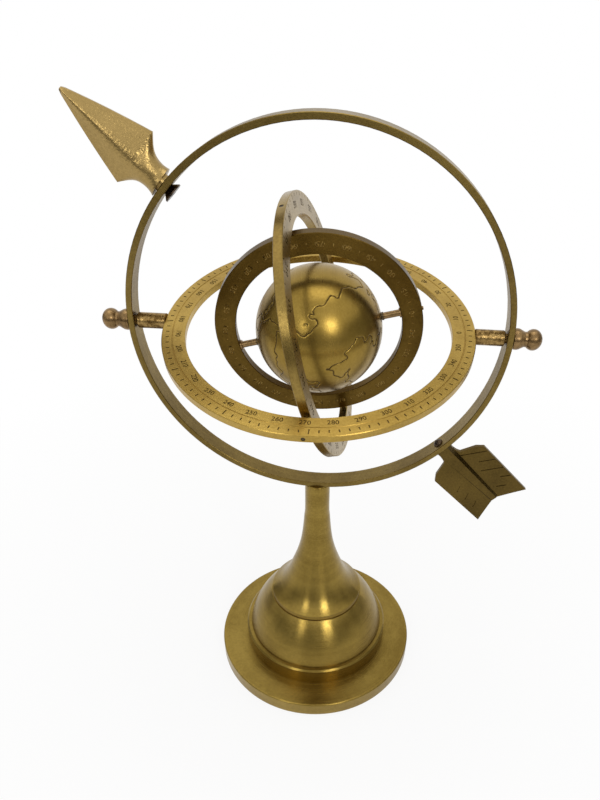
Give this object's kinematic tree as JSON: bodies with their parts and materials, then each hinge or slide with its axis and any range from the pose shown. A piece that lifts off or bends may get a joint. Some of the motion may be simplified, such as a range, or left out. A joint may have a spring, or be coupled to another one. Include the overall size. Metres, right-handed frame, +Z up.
{
  "type": "armillary sphere",
  "caption": "Brass armillary sphere: nested rings and a globe turn inside a fixed hoop with an arrow through it, on a trumpet column and a domed, stepped round base.",
  "frame": {"origin": "centre of the foot, on the surface that the stand rests on", "axes": "+Z up through the column, +X along the two spindles toward the arrow's tail, +Y away from the viewer across the fixed hoop"},
  "size_m": [0.3018, 0.1988, 0.4373],
  "materials": {
    "felt": "matt dark green",
    "stand_brass": "antiqued, lacquered",
    "hoop_brass": "antiqued",
    "arrow_brass": "rubbed, hammered ridge",
    "vane_brass": "antiqued",
    "horizon_brass": "satin",
    "meridian_brass": "satin",
    "zodiac_brass": "dark antiqued",
    "globe_brass": "polished",
    "spindle_brass": "hammered",
    "turned_brass": "turned",
    "dark_pin": "dark oxide",
    "dark_screw": "dark antiqued",
    "steel": "zinc plated"
  },
  "bodies": {
    "stand": {"felt_pad": "felt", "base_plate": "stand_brass", "base_step": "stand_brass", "dome": "stand_brass", "column": "stand_brass", "tie_rod": "steel", "base_washer": "steel", "base_nut": "steel", "outer_ring": "hoop_brass", "arrow_head": "arrow_brass", "arrow_head_screw": "dark_screw", "arrow_tail": "vane_brass", "arrow_tail_screw": "dark_screw"},
    "horizon": {"horizon_ring": "horizon_brass", "spindle_left": "spindle_brass", "spindle_right": "spindle_brass", "finial_left": "turned_brass", "finial_right": "turned_brass", "meridian_pivot_front": "dark_pin", "meridian_pivot_back": "dark_pin"},
    "meridian": {"meridian_ring": "meridian_brass", "zodiac_pivot_top": "dark_pin", "zodiac_pivot_bottom": "dark_pin"},
    "zodiac": {"zodiac_ring": "zodiac_brass", "globe_axle": "turned_brass", "axle_sleeve_left": "turned_brass", "axle_sleeve_right": "turned_brass", "pole_washer_left": "dark_pin", "pole_washer_right": "dark_pin"},
    "globe": {"globe_half_left": "globe_brass", "globe_half_right": "globe_brass", "pole_bush_left": "turned_brass", "pole_bush_right": "turned_brass"}
  },
  "joints": [
    {"name": "horizon_turn", "type": "hinge", "parent": "stand", "child": "horizon", "pos_m": [0, 0, 0.3057], "axis": [1, 0, 0], "continuous": true},
    {"name": "meridian_turn", "type": "hinge", "parent": "horizon", "child": "meridian", "pos_m": [0, 0, 0.3057], "axis": [0, 0.9763, 0.2164], "continuous": true},
    {"name": "zodiac_turn", "type": "hinge", "parent": "meridian", "child": "zodiac", "pos_m": [0, 0, 0.3057], "axis": [-0.2445, -0.2099, 0.9467], "continuous": true},
    {"name": "globe_spin", "type": "hinge", "parent": "zodiac", "child": "globe", "pos_m": [0, 0, 0.3057], "axis": [0.9672, 0.017, 0.2535], "continuous": true}
  ]
}
